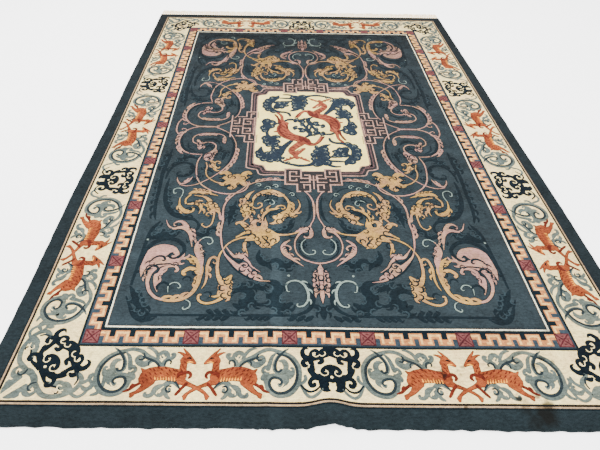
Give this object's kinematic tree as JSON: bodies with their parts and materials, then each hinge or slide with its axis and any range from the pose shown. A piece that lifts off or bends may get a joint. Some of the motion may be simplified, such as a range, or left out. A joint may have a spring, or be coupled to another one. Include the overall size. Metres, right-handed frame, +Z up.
{
  "type": "peking rug",
  "caption": "Large hand-knotted wool pile rug lying flat, with a warp fringe along one short end and a soft ripple at the other.",
  "frame": {"origin": "middle of the rug's outline, fringe included, on the floor", "axes": "+Z up from the floor, +Y along the rug's length towards the fringed end, +X to the right seen from the plain end"},
  "size_m": [2.7459, 4.1253, 0.0289],
  "materials": {
    "wool_pile": "cut wool pile, slate blue and navy with cream, rust, pink and gold",
    "cotton_warp": "undyed cotton warp, matt"
  },
  "bodies": {
    "root": {"rug": "wool_pile", "fringe": "cotton_warp"}
  },
  "joints": []
}
